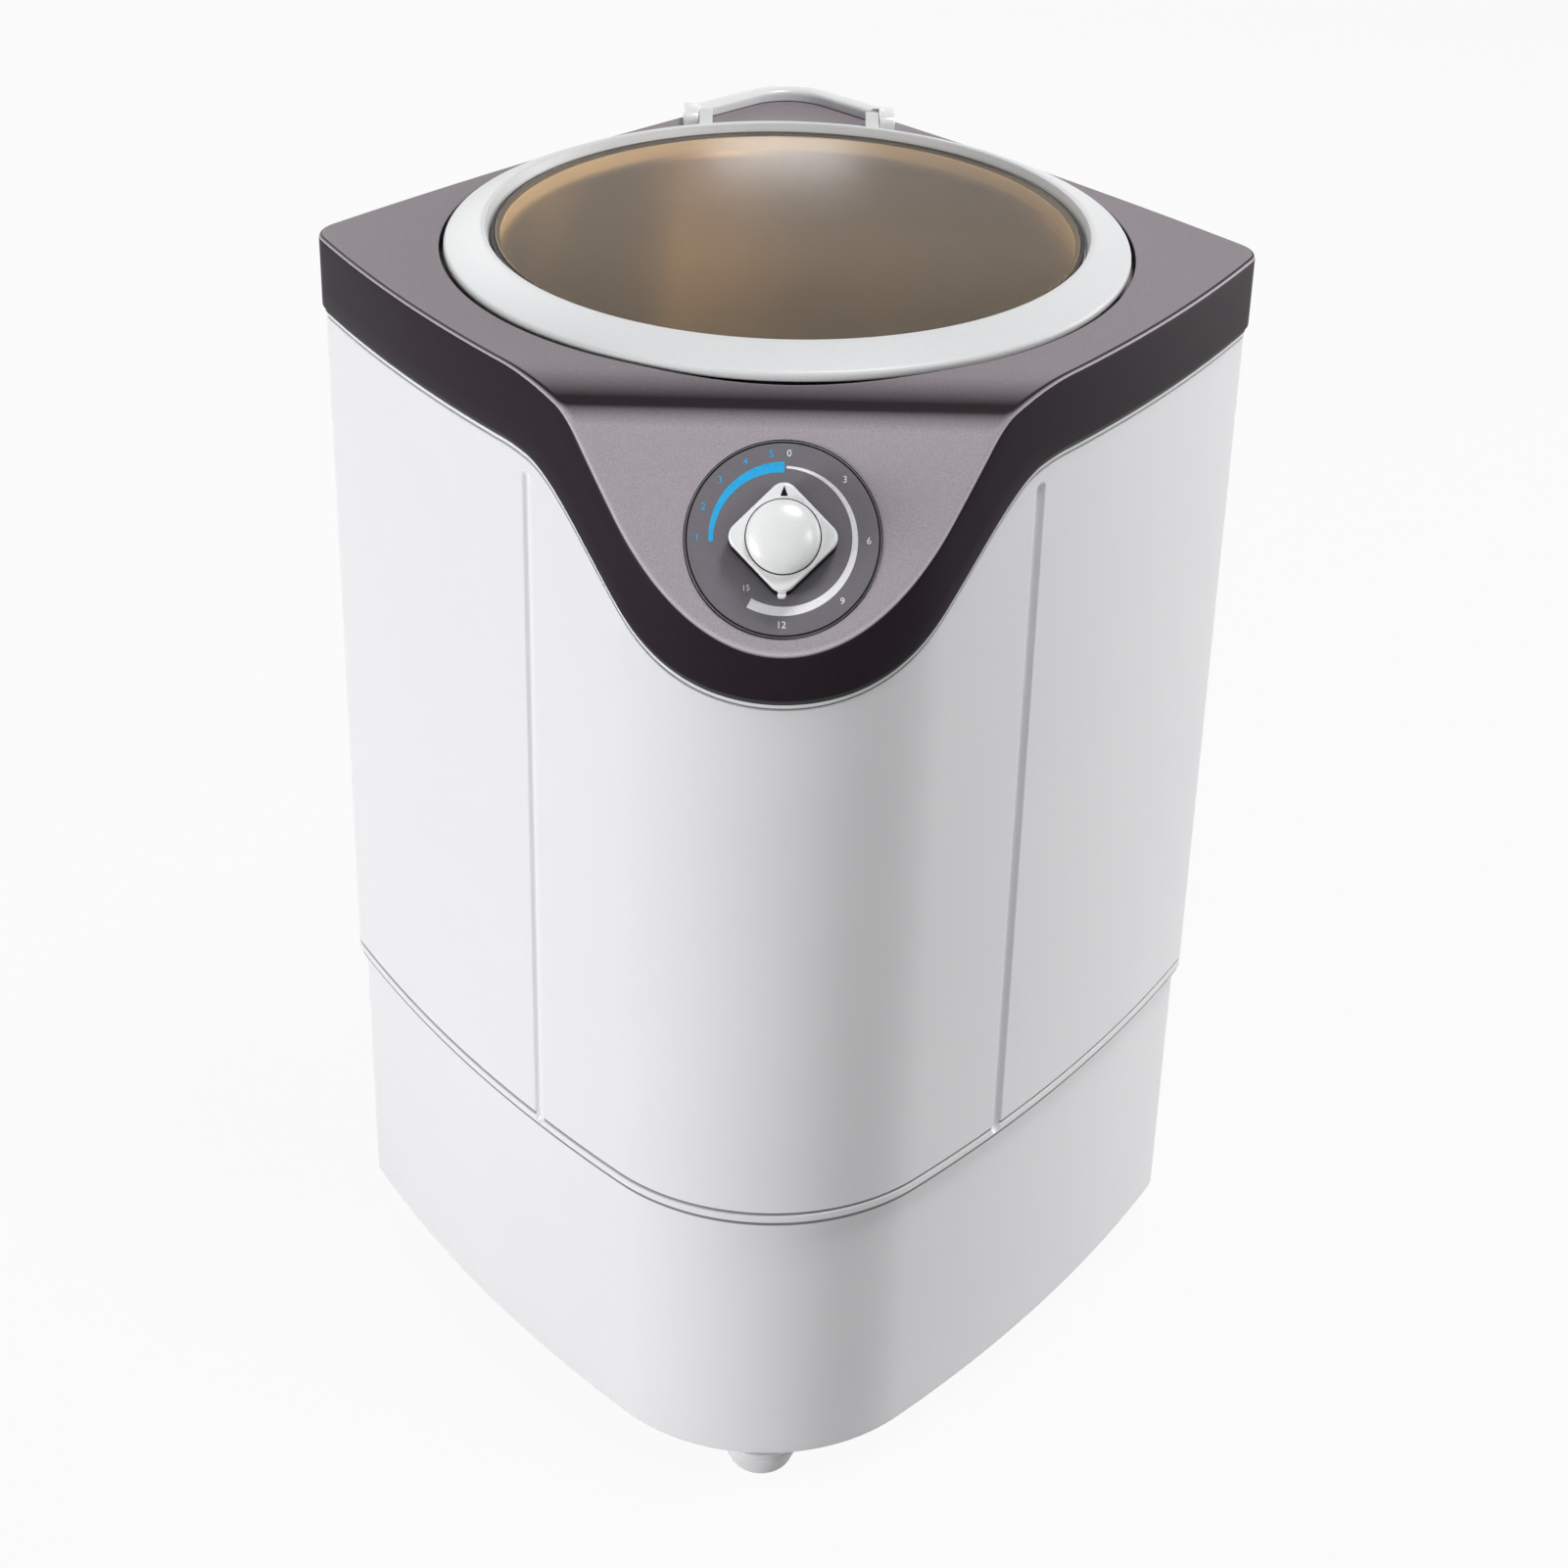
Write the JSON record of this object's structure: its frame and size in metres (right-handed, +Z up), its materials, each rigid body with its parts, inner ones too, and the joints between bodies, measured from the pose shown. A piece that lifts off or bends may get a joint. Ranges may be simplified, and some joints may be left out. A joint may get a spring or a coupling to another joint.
{
  "type": "top load washing machine",
  "caption": "Compact top load washer, rounded square plan turned corner-forward, round hinged window lid, sloping timer dial, steel tub with belt-driven pulsator.",
  "frame": {"origin": "on the floor under the middle of the plan, at the soles of the four feet", "axes": "+Z up, -Y towards the front corner with the timer dial, +X to the right seen from the front"},
  "size_m": [0.4212, 0.4288, 0.5524],
  "materials": {
    "cover_plastic": "fine metallic grey-purple, satin",
    "white_plastic": "white, glossy",
    "silver_plastic": "silver, fine metallic",
    "smoked_window": "clear, smoke tinted",
    "tub_steel": "fine brushed round the tub",
    "shaft_steel": "turned or pressed steel",
    "screw_steel": "zinc plated",
    "black_rubber": "matt",
    "grey_rubber": "matt",
    "dial_ink": "printed dark grey, satin",
    "grey_plastic": "moulded light grey",
    "dark_plastic": "moulded near black",
    "cast_aluminium": "as cast"
  },
  "bodies": {
    "cabinet": {"base_shell": "white_plastic", "bearing_lower": "shaft_steel", "bearing_upper": "shaft_steel", "body_screw_left": "screw_steel", "body_screw_right": "screw_steel", "body_shell": "white_plastic", "bottom_plate": "grey_plastic", "capacitor": "dark_plastic", "capacitor_clip": "shaft_steel", "cord_gland": "dark_plastic", "cover_screw_left": "screw_steel", "cover_screw_right": "screw_steel", "dial_plate": "dial_ink", "drain_fitting": "grey_plastic", "drain_hose": "black_rubber", "drain_spigot": "grey_plastic", "drive_belt": "black_rubber", "foot_front": "grey_rubber", "foot_left": "grey_rubber", "foot_rear": "grey_rubber", "foot_right": "grey_rubber", "hatch_screw_1": "screw_steel", "hatch_screw_2": "screw_steel", "hatch_screw_3": "screw_steel", "hatch_screw_4": "screw_steel", "hinge_pin_left": "shaft_steel", "hinge_pin_right": "shaft_steel", "hinge_rail": "silver_plastic", "motor": "cast_aluminium", "motor_bolt_1": "screw_steel", "motor_bolt_2": "screw_steel", "motor_bolt_3": "screw_steel", "motor_bolt_4": "screw_steel", "motor_bracket": "shaft_steel", "motor_bush_1": "black_rubber", "motor_bush_2": "black_rubber", "motor_bush_3": "black_rubber", "motor_bush_4": "black_rubber", "shaft_housing": "cast_aluminium", "shaft_seal": "black_rubber", "support_deck": "grey_plastic", "timer": "dark_plastic", "top_cover": "cover_plastic", "tub_gasket": "black_rubber", "wash_tub": "tub_steel"},
    "lid": {"lid_frame": "silver_plastic", "lid_window": "smoked_window", "window_gasket": "black_rubber"},
    "knob": {"knob_skirt": "silver_plastic", "knob_cap": "silver_plastic", "timer_shaft": "shaft_steel"},
    "agitator": {"pulsator": "grey_plastic", "pulsator_screw": "screw_steel", "drive_shaft": "shaft_steel", "drive_pulley": "cast_aluminium", "pulley_nut": "screw_steel"},
    "motor_rotor": {"motor_shaft": "shaft_steel", "motor_pulley": "cast_aluminium"}
  },
  "joints": [
    {"name": "lid_hinge", "type": "hinge", "parent": "cabinet", "child": "lid", "pos_m": [0, 0.16608, 0.5477], "axis": [-1, 0, 0], "range_deg": [0, 100]},
    {"name": "knob_turn", "type": "hinge", "parent": "cabinet", "child": "knob", "pos_m": [0, -0.18955, 0.4915], "axis": [0, -0.8552, 0.5183], "range_deg": [-210, 90]},
    {"name": "pulsator_spin", "type": "hinge", "parent": "cabinet", "child": "agitator", "pos_m": [0, 0.009, 0.2], "axis": [0, 0, 1], "continuous": true},
    {"name": "motor_spin", "type": "hinge", "parent": "cabinet", "child": "motor_rotor", "pos_m": [0, 0.11597, 0.05], "axis": [0, 0, 1], "continuous": true}
  ],
  "couplings": [
    {"joint": "motor_spin", "follows": "pulsator_spin", "ratio": 4.2857}
  ]
}
